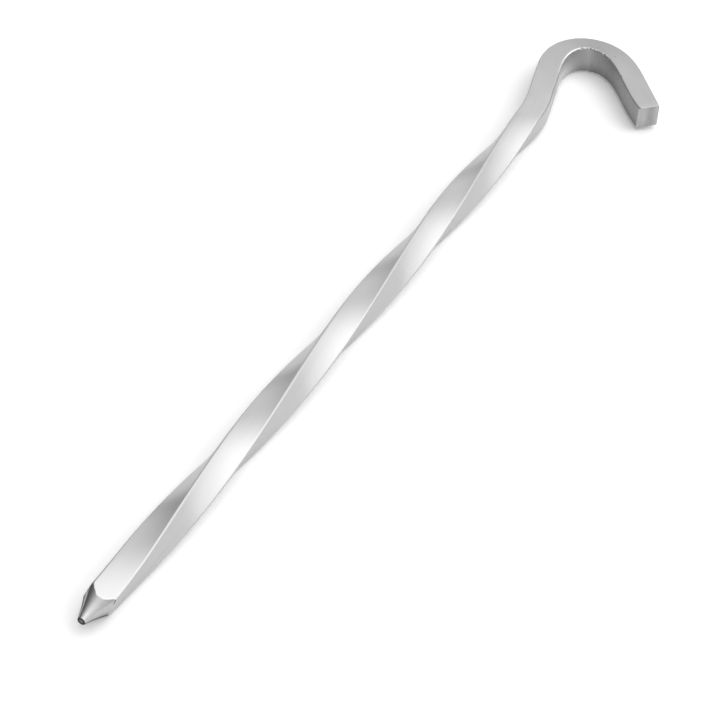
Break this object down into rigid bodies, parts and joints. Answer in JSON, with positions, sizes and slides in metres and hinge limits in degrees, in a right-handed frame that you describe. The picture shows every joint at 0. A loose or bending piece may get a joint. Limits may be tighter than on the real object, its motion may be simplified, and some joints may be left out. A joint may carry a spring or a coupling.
{
  "type": "tent stake",
  "caption": "Tent stake of square aluminium bar with a turned point, a left-hand twisted shank and a bent hook for a guy line.",
  "frame": {"origin": "centre of the blunt end face of the point, on the shank's axis", "axes": "+X along the shank from the point to the hook; +Z square to the plane that the hook is bent in; the hook opens towards -Y"},
  "size_m": [0.229, 0.034, 0.0082],
  "materials": {
    "aluminium": "satin, drawn along the bar and uncoated"
  },
  "bodies": {
    "root": {"stake": "aluminium"}
  },
  "joints": []
}
